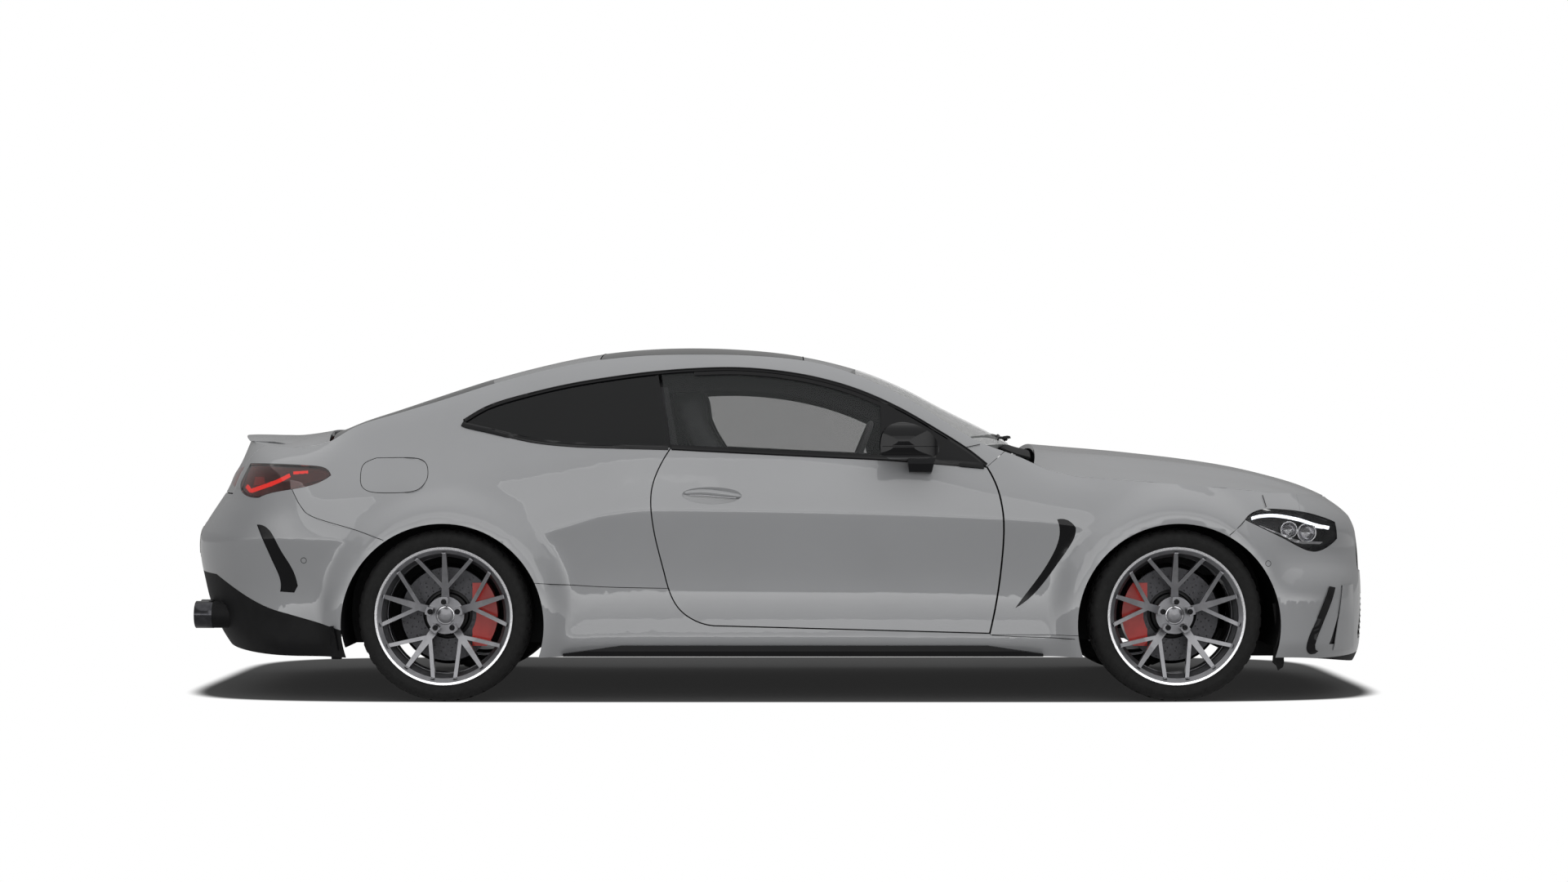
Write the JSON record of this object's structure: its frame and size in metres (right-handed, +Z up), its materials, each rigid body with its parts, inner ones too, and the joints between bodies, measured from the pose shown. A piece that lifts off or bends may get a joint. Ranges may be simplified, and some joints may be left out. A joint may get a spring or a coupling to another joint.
{
  "type": "coupe car",
  "caption": "Full-size front-engined coupe car with opening doors, bonnet and boot lid, steered and rolling wheels.",
  "frame": {"origin": "on the ground under the middle of the car", "axes": "+X towards the nose, +Y to the car's left, +Z up"},
  "size_m": [4.8522, 2.1244, 1.4164],
  "materials": {
    "body_paint": "gloss",
    "black_trim": "satin",
    "gloss_black": "gloss",
    "clear_glass": "gloss",
    "lamp_clear": "gloss",
    "lamp_red": "gloss",
    "tyre_rubber": "matte",
    "forged_alloy": "satin",
    "brake_iron": "machined",
    "caliper_red": "gloss",
    "steel": "satin",
    "tub_paint": "satin",
    "seat_leather": "satin",
    "dash_plastic": "matte"
  },
  "bodies": {
    "body": {"bodyside_right": "body_paint", "bodyside_left": "body_paint", "quarter_glass": "clear_glass", "windscreen": "clear_glass", "roof_panel": "gloss_black", "rear_window": "clear_glass", "front_fenders": "body_paint", "front_bumper": "body_paint", "front_lip": "gloss_black", "rear_bumper": "body_paint", "rear_diffuser": "black_trim", "headlamps": "lamp_clear", "tail_lamps": "lamp_red", "fuel_flap": "body_paint", "cowl_panel": "black_trim", "side_skirts": "gloss_black", "wing_vents": "gloss_black", "bumper_vents": "gloss_black", "grille": "gloss_black", "lower_grille": "black_trim", "floor_pan": "tub_paint", "firewall": "tub_paint", "rear_wall": "tub_paint", "front_rails": "tub_paint", "wheel_liners": "black_trim", "front_seats": "seat_leather", "rear_bench": "seat_leather", "dashboard": "dash_plastic", "steering_wheel": "seat_leather", "exhaust": "steel", "front_axle": "steel", "rear_axle": "steel", "engine": "steel", "caliper_rear_right": "caliper_red", "caliper_rear_left": "caliper_red"},
    "door_right": {"door_right": "body_paint", "door_glass_right": "clear_glass", "mirror_right": "gloss_black"},
    "door_left": {"door_left": "body_paint", "door_glass_left": "clear_glass", "mirror_left": "gloss_black"},
    "bonnet": {"bonnet": "body_paint"},
    "boot_lid": {"boot_lid": "body_paint"},
    "steer_right": {"knuckle_right": "steel", "caliper_front_right": "caliper_red"},
    "steer_left": {"knuckle_left": "steel", "caliper_front_left": "caliper_red"},
    "wheel_front_right": {"tyre_front_right": "tyre_rubber", "rim_front_right": "forged_alloy", "brake_disc_front_right": "brake_iron"},
    "wheel_front_left": {"tyre_front_left": "tyre_rubber", "rim_front_left": "forged_alloy", "brake_disc_front_left": "brake_iron"},
    "wheel_rear_right": {"tyre_rear_right": "tyre_rubber", "rim_rear_right": "forged_alloy", "brake_disc_rear_right": "brake_iron"},
    "wheel_rear_left": {"tyre_rear_left": "tyre_rubber", "rim_rear_left": "forged_alloy", "brake_disc_rear_left": "brake_iron"}
  },
  "joints": [
    {"name": "steer_right", "type": "hinge", "parent": "body", "child": "steer_right", "pos_m": [1.5595, -0.732, 0.34], "axis": [0, 0, 1], "range_deg": [-35, 35]},
    {"name": "steer_left", "type": "hinge", "parent": "body", "child": "steer_left", "pos_m": [1.5595, 0.732, 0.34], "axis": [0, 0, 1], "range_deg": [-35, 35]},
    {"name": "wheel_front_right_spin", "type": "hinge", "parent": "steer_right", "child": "wheel_front_right", "pos_m": [1.5595, -0.814, 0.34], "axis": [0, 1, 0], "continuous": true},
    {"name": "wheel_front_left_spin", "type": "hinge", "parent": "steer_left", "child": "wheel_front_left", "pos_m": [1.5595, 0.814, 0.34], "axis": [0, 1, 0], "continuous": true},
    {"name": "wheel_rear_right_spin", "type": "hinge", "parent": "body", "child": "wheel_rear_right", "pos_m": [-1.3155, -0.814, 0.34], "axis": [0, 1, 0], "continuous": true},
    {"name": "wheel_rear_left_spin", "type": "hinge", "parent": "body", "child": "wheel_rear_left", "pos_m": [-1.3155, 0.814, 0.34], "axis": [0, 1, 0], "continuous": true},
    {"name": "door_right", "type": "hinge", "parent": "body", "child": "door_right", "pos_m": [0.806, -0.862, 0.68], "axis": [0, 0, 1], "range_deg": [0, 60]},
    {"name": "door_left", "type": "hinge", "parent": "body", "child": "door_left", "pos_m": [0.806, 0.862, 0.68], "axis": [0, 0, -1], "range_deg": [0, 60]},
    {"name": "bonnet", "type": "hinge", "parent": "body", "child": "bonnet", "pos_m": [0.93, 0, 0.93], "axis": [0, -1, 0], "range_deg": [0, 50]},
    {"name": "boot_lid", "type": "hinge", "parent": "body", "child": "boot_lid", "pos_m": [-1.74, 0, 1], "axis": [0, 1, 0], "range_deg": [0, 60]}
  ],
  "couplings": [
    {"joint": "steer_left", "follows": "steer_right", "ratio": 1}
  ]
}
